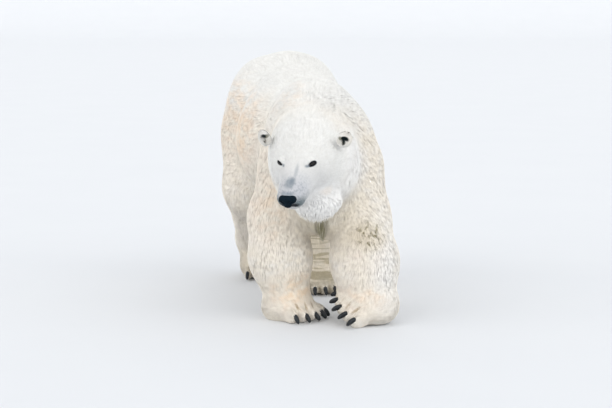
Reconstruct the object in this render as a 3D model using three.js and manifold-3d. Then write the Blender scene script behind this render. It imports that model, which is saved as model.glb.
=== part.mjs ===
// A walking polar bear, life size: millimetres, +Z up. It faces -Y, so its left side is +X.
// The floor is z = 0. The form is the outline of the coat, out to the tips of the hairs.
// One smooth distance field gives the whole body, which is then parted with thin flat cuts.
import * as THREE from "three";
import { mergeVertices } from "three/addons/utils/BufferGeometryUtils.js";
import Module from "manifold-3d";

const wasm = await Module();
wasm.setup();

// ---------------------------------------------------------------- driving dimensions

const withersHeight = 1180;
const rumpHeight = 1275;
const bellyClearance = 490;
const barrelHalfWidth = 325;
const hipSway = -25; // the hips swing towards the leg that is stretched back
const shoulderY = 120;
const hipY = 1150;

const headScale = 1.06;
const headCentre = [-155, -350, 846];
const headYaw = -25.5; // degrees, towards the bear's right
const headPitch = 27; // degrees, nose down

const eyeRadius = 15;
const clawLength = 52;
const clawRadius = 13;
const clawBend = 45; // degrees, from root to tip

const floorShift = [5, -457, 0]; // puts the origin under the middle of the whole bear
const cut = 0.5; // gap left by each cut
const socket = 0.35; // gap round a claw, an eye or the nose

// ---------------------------------------------------------------- distance fields
// A field is a function (x, y, z) that gives the distance to a surface, negative inside it.

const { abs, cos, max, min, sin, sqrt } = Math;
const radians = THREE.MathUtils.degToRad;

function ellipsoid([cx, cy, cz], [rx, ry, rz]) {
  return (x, y, z) => {
    const a = (x - cx) / rx;
    const b = (y - cy) / ry;
    const c = (z - cz) / rz;
    const reach = sqrt(a * a + b * b + c * c);
    const slope = sqrt((a / rx) ** 2 + (b / ry) ** 2 + (c / rz) ** 2);
    return slope > 1e-9 ? (reach * (reach - 1)) / slope : -min(rx, ry, rz);
  };
}

// A round bar whose radius runs evenly from ra at a to rb at b.
function taper(a, b, ra, rb) {
  const along = b.map((v, i) => v - a[i]);
  const length2 = along.reduce((sum, v) => sum + v * v, 0);
  return (x, y, z) => {
    const px = x - a[0];
    const py = y - a[1];
    const pz = z - a[2];
    const t = min(1, max(0, (px * along[0] + py * along[1] + pz * along[2]) / length2));
    const dx = px - t * along[0];
    const dy = py - t * along[1];
    const dz = pz - t * along[2];
    return sqrt(dx * dx + dy * dy + dz * dz) - (ra + t * (rb - ra));
  };
}

// Joins fields with a fillet about k wide.
function blend(k, ...fields) {
  return (x, y, z) => {
    let d = fields[0](x, y, z);
    for (let i = 1; i < fields.length; i++) {
      const e = fields[i](x, y, z);
      const h = max(k - abs(d - e), 0);
      d = min(d, e) - (h * h) / (4 * k);
    }
    return d;
  };
}

// Takes a field away from another, with a fillet about k wide.
function hollow(k, field, taken) {
  return (x, y, z) => {
    const d = field(x, y, z);
    const e = -taken(x, y, z);
    const h = max(k - abs(d - e), 0);
    return max(d, e) + (h * h) / (4 * k);
  };
}

const bothSides = (field, middle = 0) => (x, y, z) => field(abs(x - middle), y, z);

// Places a field that is written in a frame of its own.
function placed(frame, field, scale = 1) {
  const m = frame.clone().invert().elements;
  return (x, y, z) =>
    scale *
    field(
      (m[0] * x + m[4] * y + m[8] * z + m[12]) / scale,
      (m[1] * x + m[5] * y + m[9] * z + m[13]) / scale,
      (m[2] * x + m[6] * y + m[10] * z + m[14]) / scale,
    );
}

function frameAt([x, y, z], { yaw = 0, pitch = 0, roll = 0 } = {}) {
  const turn = new THREE.Euler(radians(pitch), radians(roll), radians(yaw), "ZXY");
  return new THREE.Matrix4().makeRotationFromEuler(turn).setPosition(x, y, z);
}

// ---------------------------------------------------------------- trunk, neck and tail

const barrelCentreZ = (withersHeight + bellyClearance) / 2 - 10;
const barrelHalfHeight = (withersHeight - bellyClearance) / 2 - 15;

const trunk = blend(
  100,
  ellipsoid([hipSway / 2, 700, barrelCentreZ], [barrelHalfWidth, 560, barrelHalfHeight]),
  ellipsoid([0, 250, 805], [250, 320, 300]),
  ellipsoid([hipSway, 800, 930], [215, 480, 258]),
  ellipsoid([-10, hipY - 60, rumpHeight - 370], [262, 350, 375]),
  bothSides(ellipsoid([140, hipY, 875], [186, 275, 350]), hipSway),
  ellipsoid([-15, 240, withersHeight - 138], [150, 225, 128]),
  bothSides(ellipsoid([150, shoulderY, 750], [128, 185, 240])),
  ellipsoid([0, 15, 640], [175, 175, 225]),
);

const neck = blend(
  70,
  taper([-20, 130, 905], [-125, -255, 862], 228, 172),
  taper([-10, 30, 775], [-104, -262, 770], 200, 160),
  ellipsoid([-90, -185, 792], [204, 130, 226]),
);

// The long hair under the jaw.
const ruff = blend(
  40,
  ellipsoid([-105, -375, 632], [118, 85, 75]),
  taper([-100, -350, 652], [-62, -170, 645], 70, 100),
);

const tail = taper([hipSway, 1428, 930], [hipSway, 1482, 795], 58, 34);

// ---------------------------------------------------------------- head
// The head's own frame: the middle of the skull is its origin, x is left, -y is towards the nose.

const headFrame = frameAt(headCentre, { yaw: headYaw, pitch: headPitch });
const eyePlace = [67, -129, 45];
const nosePlace = [0, -316, -30];
const noseRadii = [37, 22, 29];
const earPlace = [176, 10, 66];
const earTurn = { yaw: 30, pitch: -8, roll: 30 };

const skull = blend(
  55,
  ellipsoid([0, 12, 0], [130, 128, 102]),
  ellipsoid([0, -72, 12], [96, 96, 74]),
  bothSides(ellipsoid([80, -8, -46], [72, 112, 96])),
  ellipsoid([0, 62, -66], [136, 105, 116]),
);

const muzzle = blend(
  30,
  taper([0, -105, 6], [0, -274, -18], 64, 44),
  bothSides(taper([26, -150, -40], [24, -266, -48], 50, 37)),
  taper([0, -30, -88], [0, -244, -77], 68, 36),
);

const earFrame = frameAt(earPlace, earTurn);
const earCup = placed(
  earFrame,
  hollow(
    8,
    ellipsoid([0, 0, 8], [37, 20, 38]),
    ellipsoid([-2, -17, 8], [24, 20, 26]),
  ),
);

const eyeHollow = ellipsoid([eyePlace[0] + 12, eyePlace[1] - 22, eyePlace[2] + 2], [26, 24, 15]);

const headField = placed(
  headFrame,
  hollow(16, blend(14, blend(48, skull, muzzle), bothSides(earCup)), bothSides(eyeHollow)),
  headScale,
);

// ---------------------------------------------------------------- legs and paws

const toeSpread = [-0.8, -0.42, 0, 0.42, 0.8];
const toeHeight = 36;
const rootDepth = 38; // from the middle of a toe forwards to the root of its claw

// Where the five toes sit, fanned over the front of a paw, and how far each is turned.
const toesOf = ({ width, reach }) =>
  toeSpread.map((share) => ({
    at: [(share * width) / 2, -reach + 46 * share * share, toeHeight],
    turn: 26 * share,
  }));

// A paw in its own frame: the origin is on the floor under its middle, toes towards -y.
function pawField(paw) {
  const half = paw.width / 2;
  const palm = blend(
    50,
    ellipsoid([0, 8, 54], [half * 0.98, 112, 64]),
    ellipsoid([0, paw.heel * 0.6, 52], [half * 0.8, paw.heel * 0.62, 62]),
  );
  const toes = toesOf(paw).map(({ at, turn }) =>
    placed(frameAt(at, { yaw: turn }), ellipsoid([0, 0, 0], [half * 0.225, 56, 36])),
  );
  return blend(20, palm, ...toes);
}

const forePaw = { width: 250, reach: 100, heel: 118 };
const hindPaw = { width: 215, reach: 98, heel: 165 };

// A leg is a chain of round bars [from, to, radius, radius] and a paw placed on the floor.
// Each cut is [point, normal]; the leg is what lies beyond all of its cuts.
// clawPitch is how far below level the claws leave the toes, in degrees.
const legs = {
  foreleg_right: {
    paw: forePaw,
    frame: frameAt([-152, 92, 0], { yaw: 44 }),
    bars: [
      [[-180, 95, 740], [-202, 160, 490], 125, 144],
      [[-202, 160, 490], [-200, 132, 300], 144, 148],
      [[-200, 132, 300], [-162, 110, 90], 146, 108],
    ],
    cuts: [
      [[-12, 0, 390], [-1, 0, -1]],
      [[-2, 0, 0], [-1, 0, 0]],
      [[0, 345, 400], [0, -1, -0.1]],
    ],
    wrist: 128,
    clawPitch: 20,
  },
  foreleg_left: {
    paw: forePaw,
    frame: frameAt([192, -72, 40], { yaw: -82, roll: 24 }),
    bars: [
      [[175, 70, 740], [184, 80, 490], 120, 146],
      [[184, 80, 490], [192, -16, 290], 146, 160],
      [[192, -16, 290], [206, -55, 130], 158, 132],
    ],
    cuts: [
      [[2, 0, 390], [1, 0, -1]],
      [[-2, 0, 0], [1, 0, 0]],
      [[0, 335, 400], [0, -1, -0.1]],
    ],
    wrist: 170,
    clawPitch: 2,
  },
  hindleg_right: {
    paw: hindPaw,
    frame: frameAt([-128, 1350, 0], { yaw: 6 }),
    bars: [
      [[-165, 1150, 800], [-192, 1105, 540], 195, 168],
      [[-192, 1105, 540], [-150, 1402, 215], 165, 102],
      [[-150, 1402, 215], [-132, 1392, 90], 102, 88],
    ],
    cuts: [
      [[-30, 0, 440], [-1, 0, -1]],
      [[-10, 0, 0], [-1, 0, 0]],
      [[0, 865, 500], [0, 1, -0.15]],
    ],
    wrist: 128,
    clawPitch: 20,
    knee: 340,
  },
  hindleg_left: {
    paw: hindPaw,
    frame: frameAt([112, 815, 0], { yaw: 4 }),
    bars: [
      [[118, 1140, 800], [160, 960, 520], 195, 162],
      [[160, 960, 520], [124, 950, 200], 160, 108],
      [[124, 950, 200], [114, 900, 90], 108, 90],
    ],
    cuts: [
      [[-16, 0, 440], [1, 0, -1]],
      [[-8, 0, 0], [1, 0, 0]],
      [[0, 730, 500], [0, 1, -0.15]],
    ],
    wrist: 128,
    clawPitch: 20,
    knee: 340,
  },
};

for (const leg of Object.values(legs)) {
  const bars = leg.bars.map((bar) => taper(...bar));
  leg.field = blend(45, ...bars, placed(leg.frame, pawField(leg.paw)));
}

const bear = blend(
  70,
  blend(50, blend(40, blend(90, trunk, neck), tail), headField, ruff),
  ...Object.values(legs).map((leg) => leg.field),
);

// ---------------------------------------------------------------- fields to solids

// Turns the zero level of a field into a closed mesh, by surface nets on a grid of cells.
// What reaches past the box low..high is closed off just inside it.
function meshOf(field, low, high, cell) {
  const size = [0, 1, 2].map((i) => Math.ceil((high[i] - low[i]) / cell) + 1);
  const step = [1, size[0], size[0] * size[1]];
  const value = new Float32Array(size[0] * size[1] * size[2]);
  const point = (i, j, k) => [low[0] + i * cell, low[1] + j * cell, low[2] + k * cell];
  for (let k = 0, n = 0; k < size[2]; k++)
    for (let j = 0; j < size[1]; j++)
      for (let i = 0; i < size[0]; i++, n++) {
        const rim = [i, j, k].some((v, axis) => v === 0 || v === size[axis] - 1);
        value[n] = rim ? max(cell * 0.5, field(...point(i, j, k))) : field(...point(i, j, k));
      }

  const corners = [];
  for (let c = 0; c < 8; c++) corners.push([c & 1, (c >> 1) & 1, c >> 2]);
  const cellEdges = [];
  for (let a = 0; a < 8; a++)
    for (const bit of [1, 2, 4]) if (!(a & bit)) cellEdges.push([a, a | bit]);

  // one vertex in each cell that the surface passes, moved onto the surface
  const vertexOf = new Map();
  const positions = [];
  for (let k = 0; k < size[2] - 1; k++)
    for (let j = 0; j < size[1] - 1; j++)
      for (let i = 0; i < size[0] - 1; i++) {
        const n = i + j * step[1] + k * step[2];
        const at = corners.map(([a, b, c]) => value[n + a + b * step[1] + c * step[2]]);
        const sum = [0, 0, 0];
        let crossings = 0;
        for (const [a, b] of cellEdges) {
          if (at[a] < 0 === at[b] < 0) continue;
          const t = at[a] / (at[a] - at[b]);
          for (let q = 0; q < 3; q++) sum[q] += corners[a][q] + t * (corners[b][q] - corners[a][q]);
          crossings++;
        }
        if (!crossings) continue;
        vertexOf.set(n, positions.length / 3);
        const start = point(...sum.map((s, q) => s / crossings + [i, j, k][q]));
        positions.push(...settled(field, start, cell));
      }

  // one face of two triangles across each grid edge that the surface crosses
  const triangles = [];
  const distance2 = (a, b) =>
    [0, 1, 2].reduce((s, q) => s + (positions[a * 3 + q] - positions[b * 3 + q]) ** 2, 0);
  for (let k = 0; k < size[2] - 1; k++)
    for (let j = 0; j < size[1] - 1; j++)
      for (let i = 0; i < size[0] - 1; i++) {
        const n = i + j * step[1] + k * step[2];
        for (let axis = 0; axis < 3; axis++) {
          const inside = value[n] < 0;
          if (inside === value[n + step[axis]] < 0) continue;
          const u = step[(axis + 1) % 3];
          const v = step[(axis + 2) % 3];
          const [a, b, c, d] = [n - u - v, n - v, n, n - u].map((m) => vertexOf.get(m));
          const loop = inside ? [a, b, c, d] : [d, c, b, a];
          const [p, q, r, s] = loop;
          if (distance2(p, r) < distance2(q, s)) triangles.push(p, q, r, p, r, s);
          else triangles.push(q, r, s, q, s, p);
        }
      }
  const geometry = new THREE.BufferGeometry();
  geometry.setAttribute("position", new THREE.Float32BufferAttribute(positions, 3));
  geometry.setIndex(triangles);
  return geometry;
}

// Moves a point onto the field's surface, by at most half a cell.
function settled(field, [x, y, z], cell) {
  const e = 0.5;
  const start = [x, y, z];
  for (let pass = 0; pass < 3; pass++) {
    const d = field(x, y, z);
    const gx = (field(x + e, y, z) - field(x - e, y, z)) / (2 * e);
    const gy = (field(x, y + e, z) - field(x, y - e, z)) / (2 * e);
    const gz = (field(x, y, z + e) - field(x, y, z - e)) / (2 * e);
    const slope2 = max(gx * gx + gy * gy + gz * gz, 0.25);
    x -= (d * gx) / slope2;
    y -= (d * gy) / slope2;
    z -= (d * gz) / slope2;
  }
  const moved = Math.hypot(x - start[0], y - start[1], z - start[2]);
  return moved < cell * 0.5 ? [x, y, z] : start;
}

function solidOf(geometry) {
  const bare = geometry.clone();
  for (const name of ["normal", "uv"]) bare.deleteAttribute(name);
  const merged = mergeVertices(bare, 1e-3);
  return new wasm.Manifold(
    new wasm.Mesh({
      numProp: 3,
      vertProperties: merged.attributes.position.array,
      triVerts: new Uint32Array(merged.index.array),
    }),
  );
}

function geometryOf(solid) {
  const mesh = solid.getMesh();
  const geometry = new THREE.BufferGeometry();
  geometry.setAttribute("position", new THREE.BufferAttribute(mesh.vertProperties, 3));
  geometry.setIndex(new THREE.BufferAttribute(mesh.triVerts, 1));
  return geometry.toNonIndexed();
}

// A block far larger than the bear, on the side of a plane that its normal points to.
// It starts a little way off the plane: the gap.
function beyond([x, y, z], normal, gap) {
  const side = 5000;
  const block = new THREE.BoxGeometry(side, side, side);
  const toward = new THREE.Vector3(...normal).normalize();
  const turn = new THREE.Quaternion().setFromUnitVectors(new THREE.Vector3(0, 0, 1), toward);
  block.translate(0, 0, side / 2 + gap);
  block.applyQuaternion(turn);
  block.translate(x, y, z);
  return solidOf(block);
}

// ---------------------------------------------------------------- the cuts
// A cut is [point, normal]. It leaves a gap: the two sides each stop half of it short.

const headPoint = (p) =>
  new THREE.Vector3(...p).multiplyScalar(headScale).applyMatrix4(headFrame).toArray();
const headDirection = (d) => new THREE.Vector3(...d).transformDirection(headFrame).toArray();

const throatCut = [headPoint([0, 40, 0]), headDirection([0, -0.89, 0.45])];
const collarCut = [[-55, -20, 880], [-0.25, -0.94, -0.12]];
const tailCut = [[hipSway, 1458, 880], [0, 1, 0.12]];
const jawCuts = [
  [headPoint([0, -60, -66]), headDirection([0, -0.085, -1])],
  [headPoint([0, -60, -66]), headDirection([0, -1, 0.35])],
];
const earCut = (side) => [headPoint([side * 134, 0, 62]), headDirection([side * 0.86, 0, 0.5])];
const level = (height) => [[0, 0, height], [0, 0, -1]];

const pastCut = ([point, normal]) => beyond(point, normal, cut / 2);
const shortOfCut = ([point, normal]) => beyond(point, normal.map((v) => -v), cut / 2);

// What lies beyond every one of some cuts, and what is left on the near side of them.
const pastAll = (solid, cuts) => cuts.reduce((s, c) => s.intersect(pastCut(c)), solid);
function shortOfAll(solid, cuts) {
  const grown = cuts.map(([point, normal]) => beyond(point, normal, -cut / 2));
  return solid.subtract(grown.reduce((a, b) => a.intersect(b)));
}

// ---------------------------------------------------------------- parts

const coat = new THREE.MeshStandardMaterial({ color: "#e9dfcf", roughness: 0.95 });
const darkSkin = new THREE.MeshStandardMaterial({ color: "#15171a", roughness: 0.5 });
const horn = new THREE.MeshStandardMaterial({ color: "#1d2226", roughness: 0.4 });
const eyeDark = new THREE.MeshStandardMaterial({ color: "#0b0a0a", roughness: 0.1 });

const bearGroup = new THREE.Group();
bearGroup.position.set(...floorShift);

function add(name, solid, material) {
  const mesh = new THREE.Mesh(geometryOf(solid), material);
  mesh.name = name;
  bearGroup.add(mesh);
}

// Flesh is one body: any crumb that a cut leaves beside it is dropped.
function addFlesh(name, solid) {
  const bodies = solid.decompose().sort((a, b) => b.volume() - a.volume());
  add(name, bodies[0].simplify(cut / 4), coat);
}

const floorPlane = beyond([0, 0, 0], [0, 0, 1], 0);

// The part of the whole bear that lies in a box, meshed on cells and thinned out to a tolerance.
function flesh(low, high, cell, tolerance) {
  return solidOf(meshOf(bear, low, high, cell)).simplify(tolerance).intersect(floorPlane);
}

const scaledHead = headFrame.clone().scale(new THREE.Vector3(headScale, headScale, headScale));

// A three.js sphere drawn out to given half sizes, placed in the head.
function headBall(place, radii, detail) {
  const sphere = new THREE.SphereGeometry(1, detail, Math.round(detail * 0.7));
  sphere.scale(...radii);
  sphere.translate(...place);
  return solidOf(sphere.applyMatrix4(scaledHead));
}

// A claw in its toe's frame: it leaves the toe forwards, stays thick, then curls down to a tip.
// extra makes it larger all round, for its socket.
function clawGeometry(extra) {
  const stations = [0, 0.45, 0.75, 0.93];
  const length = clawLength + 2 * extra;
  const profile = stations.map(
    (s) => new THREE.Vector2((clawRadius + extra) * sqrt(1 - s * s * s), s * length - extra),
  );
  profile.unshift(new THREE.Vector2(0, -extra));
  profile.push(new THREE.Vector2(0, length - extra));
  const claw = new THREE.LatheGeometry(profile, 5);
  const radius = clawLength / radians(clawBend);
  const spots = claw.attributes.position;
  for (let i = 0; i < spots.count; i++) {
    const along = spots.getY(i) / radius;
    const out = radius + spots.getZ(i) * 1.2;
    spots.setXYZ(i, spots.getX(i) * -0.95, -sin(along) * out, cos(along) * out - radius);
  }
  return claw;
}

function addHead() {
  let head = flesh([-430, -760, 500], [130, 30, 1080], 22, 3.6);
  head = pastAll(head, [throatCut]);
  head = head.subtract(headBall(nosePlace, noseRadii.map((r) => r + socket), 12));
  add("nose_pad", headBall(nosePlace, noseRadii, 12), darkSkin);
  for (const [name, side] of [["left", 1], ["right", -1]]) {
    const place = [side * eyePlace[0], eyePlace[1], eyePlace[2]];
    head = head.subtract(headBall(place, Array(3).fill(eyeRadius + socket), 7));
    add(`eye_${name}`, headBall(place, Array(3).fill(eyeRadius), 7), eyeDark);
    const [x, y, z] = headPoint([side * earPlace[0], earPlace[1], earPlace[2]]);
    const ear = flesh([x - 85, y - 85, z - 75], [x + 85, y + 85, z + 90], 11, 1.8);
    addFlesh(`ear_${name}`, pastAll(ear, [earCut(side), throatCut]));
    head = head.intersect(shortOfCut(earCut(side)));
  }
  addFlesh("lower_jaw", pastAll(head, jawCuts));
  addFlesh("head", shortOfAll(head, jawCuts));
}

function addTrunk() {
  const withoutLegs = (solid) =>
    Object.values(legs).reduce((s, leg) => shortOfAll(s, leg.cuts), solid);
  const barrel = flesh([-460, -460, 300], [460, 1650, 1360], 72, 6);
  const middle = barrel.intersect(shortOfCut(collarCut)).intersect(shortOfCut(tailCut));
  addFlesh("trunk", withoutLegs(middle));
  const front = flesh([-460, -560, 300], [360, 300, 1160], 50, 5.5);
  const collar = front.intersect(pastCut(collarCut)).intersect(shortOfCut(throatCut));
  addFlesh("neck", withoutLegs(collar));
  const rear = flesh([-200, 1300, 700], [160, 1660, 1100], 30, 3);
  addFlesh("tail", rear.intersect(pastCut(tailCut)));
}

function addForeleg(side) {
  const leg = legs[`foreleg_${side}`];
  const [x, y] = leg.frame.elements.slice(12, 14);
  const column = flesh([x - 420, y - 420, 60], [x + 420, y + 420, 900], 46, 7);
  const forearm = pastAll(column, leg.cuts).intersect(shortOfCut(level(leg.wrist)));
  addFlesh(`forearm_${side}`, forearm);
  addPaw(`foreleg_${side}`, `forepaw_${side}`);
}

function addHindleg(side) {
  const leg = legs[`hindleg_${side}`];
  const [x, y] = leg.frame.elements.slice(12, 14);
  const column = pastAll(flesh([x - 420, y - 620, 60], [x + 420, y + 620, 960], 50, 7), leg.cuts);
  addFlesh(`thigh_${side}`, column.intersect(shortOfCut(level(leg.knee))));
  const shank = column.intersect(pastCut(level(leg.knee))).intersect(shortOfCut(level(leg.wrist)));
  addFlesh(`shank_${side}`, shank);
  addPaw(`hindleg_${side}`, `hindpaw_${side}`);
}

function addPaw(legName, pawName) {
  const leg = legs[legName];
  const [x, y] = leg.frame.elements.slice(12, 14);
  let paw = flesh([x - 260, y - 300, -30], [x + 260, y + 340, 260], 30, 6.6);
  paw = pastAll(paw, [...leg.cuts, level(leg.wrist)]);
  toesOf(leg.paw).forEach(({ at, turn }, i) => {
    const root = frameAt([at[0], at[1], at[2] + 18], { yaw: turn, pitch: leg.clawPitch });
    root.premultiply(leg.frame).multiply(new THREE.Matrix4().makeTranslation(0, -rootDepth, 0));
    const claw = (extra) => solidOf(clawGeometry(extra).applyMatrix4(root));
    paw = paw.subtract(claw(socket));
    add(`claw_${legName}_${i + 1}`, claw(0), horn);
  });
  addFlesh(pawName, paw);
}

addHead();
addTrunk();
for (const side of ["left", "right"]) {
  addForeleg(side);
  addHindleg(side);
}

export default bearGroup;
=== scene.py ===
"""A walking polar bear: one skin with lids, ears and a mouth line, under a coat of solid mesh locks."""

import math

import bpy
import numpy as np
from mathutils import Matrix, Vector
from mathutils.kdtree import KDTree


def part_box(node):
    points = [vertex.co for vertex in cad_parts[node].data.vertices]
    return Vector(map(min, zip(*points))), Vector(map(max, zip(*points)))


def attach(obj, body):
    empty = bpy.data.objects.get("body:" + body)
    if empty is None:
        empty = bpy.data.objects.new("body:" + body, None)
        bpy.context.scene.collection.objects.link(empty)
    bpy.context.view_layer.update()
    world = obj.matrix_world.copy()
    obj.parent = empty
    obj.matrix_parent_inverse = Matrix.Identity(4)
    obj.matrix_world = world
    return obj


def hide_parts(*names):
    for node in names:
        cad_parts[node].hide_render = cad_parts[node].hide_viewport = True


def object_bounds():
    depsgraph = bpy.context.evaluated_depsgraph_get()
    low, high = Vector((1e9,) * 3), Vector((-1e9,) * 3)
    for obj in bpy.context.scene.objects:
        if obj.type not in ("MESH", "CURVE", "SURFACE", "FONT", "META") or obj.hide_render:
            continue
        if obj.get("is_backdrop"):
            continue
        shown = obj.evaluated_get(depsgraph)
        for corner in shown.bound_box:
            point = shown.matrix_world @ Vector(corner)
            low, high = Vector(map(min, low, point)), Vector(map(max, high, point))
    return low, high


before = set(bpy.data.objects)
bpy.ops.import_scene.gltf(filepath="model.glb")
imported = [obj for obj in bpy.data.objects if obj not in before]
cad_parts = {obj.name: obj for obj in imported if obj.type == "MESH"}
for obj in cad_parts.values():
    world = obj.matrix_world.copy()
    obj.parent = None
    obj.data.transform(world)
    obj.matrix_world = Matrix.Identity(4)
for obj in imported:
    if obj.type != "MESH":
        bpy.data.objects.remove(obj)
cad_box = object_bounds()
rng = np.random.default_rng(7)

# ------------------------------------------------------------------ sizes, in millimetres
# The body is described in the same numbers as the solids. Points are metres only in meshes.

FLOOR_SHIFT = np.array([5.0, -457.0, 0.0])
WITHERS_HEIGHT = 1180
RUMP_HEIGHT = 1275
BELLY_CLEARANCE = 490
BARREL_HALF_WIDTH = 325
HIP_SWAY = -25
SHOULDER_Y = 120
HIP_Y = 1150
HEAD_SCALE = 1.06
EYE_PLACE = (67, -129, 45)
EYE_RADIUS = 15
NOSE_PLACE = (0, -316, -30)
CLAW_LENGTH = 52
CLAW_RADIUS = 13
CLAW_BEND = 45


# ------------------------------------------------------------------ distance fields
# A field takes arrays x, y, z and gives the distance to a surface, negative inside it.

def ellipsoid(centre, radii):
    cx, cy, cz = centre
    rx, ry, rz = radii

    def field(x, y, z):
        a = (x - cx) / rx
        b = (y - cy) / ry
        c = (z - cz) / rz
        reach = np.sqrt(a * a + b * b + c * c)
        slope = np.sqrt((a / rx) ** 2 + (b / ry) ** 2 + (c / rz) ** 2)
        return reach * (reach - 1) / np.maximum(slope, 1e-5)

    return field


def taper(a, b, ra, rb):
    ax, ay, az = a
    ux, uy, uz = (q - p for p, q in zip(a, b))
    length2 = ux * ux + uy * uy + uz * uz

    def field(x, y, z):
        px, py, pz = x - ax, y - ay, z - az
        t = np.clip((px * ux + py * uy + pz * uz) / length2, 0, 1)
        far = np.sqrt((px - t * ux) ** 2 + (py - t * uy) ** 2 + (pz - t * uz) ** 2)
        return far - (ra + t * (rb - ra))

    return field


def joined(k, a, b):
    """The nearer of two distances, rounded over a width k."""
    h = np.maximum(k - np.abs(a - b), 0)
    return np.minimum(a, b) - h * h / (4 * k)


def cut_out(k, kept, taken):
    """Distances to what is left of one body when another is taken out of it."""
    return -joined(k, -kept, taken)


def blend(k, *fields):
    def field(x, y, z):
        d = fields[0](x, y, z)
        for other in fields[1:]:
            d = joined(k, d, other(x, y, z))
        return d

    return field


def hollow(k, kept, taken):
    return lambda x, y, z: cut_out(k, kept(x, y, z), taken(x, y, z))


def both_sides(field, middle=0):
    return lambda x, y, z: field(np.abs(x - middle), y, z)


def frame_at(place, yaw=0, pitch=0, roll=0):
    turns = zip((yaw, pitch, roll), "ZXY")
    matrix = Matrix.Translation(place)
    for degrees, axis in turns:
        matrix = matrix @ Matrix.Rotation(math.radians(degrees), 4, axis)
    return matrix


def turned(matrix, x, y, z):
    """x, y, z taken through a 4x4 matrix."""
    m = np.array(matrix, np.float32)
    return tuple(m[i, 0] * x + m[i, 1] * y + m[i, 2] * z + m[i, 3] for i in range(3))


def placed(matrix, field, scale=1.0):
    inverse = np.array(matrix.inverted()) / scale
    return lambda x, y, z: scale * field(*turned(inverse, x, y, z))


# ------------------------------------------------------------------ trunk, neck and tail

BARREL_Z = (WITHERS_HEIGHT + BELLY_CLEARANCE) / 2 - 10
BARREL_HALF_HEIGHT = (WITHERS_HEIGHT - BELLY_CLEARANCE) / 2 - 15

trunk = blend(
    100,
    ellipsoid((HIP_SWAY / 2, 700, BARREL_Z), (BARREL_HALF_WIDTH, 560, BARREL_HALF_HEIGHT)),
    ellipsoid((0, 250, 805), (250, 320, 300)),
    ellipsoid((HIP_SWAY, 800, 930), (215, 480, 258)),
    ellipsoid((-10, HIP_Y - 60, RUMP_HEIGHT - 370), (262, 350, 375)),
    both_sides(ellipsoid((140, HIP_Y, 875), (186, 275, 350)), HIP_SWAY),
    ellipsoid((-15, 240, WITHERS_HEIGHT - 138), (150, 225, 128)),
    both_sides(ellipsoid((150, SHOULDER_Y, 750), (128, 185, 240))),
    ellipsoid((0, 15, 640), (175, 175, 225)),
)
neck = blend(
    70,
    taper((-20, 130, 905), (-125, -255, 862), 228, 172),
    taper((-10, 30, 775), (-104, -262, 770), 200, 160),
    ellipsoid((-90, -185, 792), (204, 130, 226)),
)
tail = taper((HIP_SWAY, 1428, 930), (HIP_SWAY, 1482, 795), 58, 34)
ruff = blend(
    40,
    ellipsoid((-105, -375, 632), (118, 85, 75)),
    taper((-100, -350, 652), (-62, -170, 645), 70, 100),
)

# ------------------------------------------------------------------ head
# In the head's own frame x is left and -y is towards the nose.

HEAD_FRAME = frame_at((-155, -350, 846), yaw=-25.5, pitch=27)
EAR_FRAME = frame_at((176, 10, 66), yaw=30, pitch=-8, roll=30)

skull = blend(
    55,
    ellipsoid((0, 12, 0), (130, 128, 102)),
    ellipsoid((0, -72, 12), (96, 96, 74)),
    both_sides(ellipsoid((80, -8, -46), (72, 112, 96))),
    ellipsoid((0, 62, -66), (136, 105, 116)),
)
muzzle = blend(
    30,
    taper((0, -105, 6), (0, -274, -18), 64, 44),
    both_sides(taper((26, -150, -40), (24, -266, -48), 50, 37)),
    taper((0, -30, -88), (0, -244, -77), 68, 36),
)
ear = placed(
    EAR_FRAME,
    hollow(8, ellipsoid((0, 0, 7), (35, 19, 36)), ellipsoid((-5, -17, 9), (15, 17, 15))),
)
eye_hollow = ellipsoid((EYE_PLACE[0] + 12, EYE_PLACE[1] - 22, EYE_PLACE[2] + 2), (26, 24, 15))
head_form = hollow(
    16,
    blend(14, blend(48, skull, muzzle), both_sides(ear)),
    both_sides(eye_hollow),
)
head = placed(HEAD_FRAME, head_form, HEAD_SCALE)

# ------------------------------------------------------------------ legs and paws

TOE_SPREAD = (-0.8, -0.42, 0, 0.42, 0.8)
TOE_HEIGHT = 36
ROOT_DEPTH = 38


def toes_of(paw):
    width, reach, _ = paw
    return [
        ((share * width / 2, -reach + 46 * share * share, TOE_HEIGHT), 26 * share)
        for share in TOE_SPREAD
    ]


def paw_field(paw):
    width, _, heel = paw
    half = width / 2
    palm = blend(
        50,
        ellipsoid((0, 8, 54), (half * 0.98, 112, 64)),
        ellipsoid((0, heel * 0.6, 52), (half * 0.8, heel * 0.62, 62)),
    )
    toes = [
        placed(frame_at(at, yaw=turn), ellipsoid((0, 0, 0), (half * 0.225, 56, 36)))
        for at, turn in toes_of(paw)
    ]
    return blend(20, palm, *toes)


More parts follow.
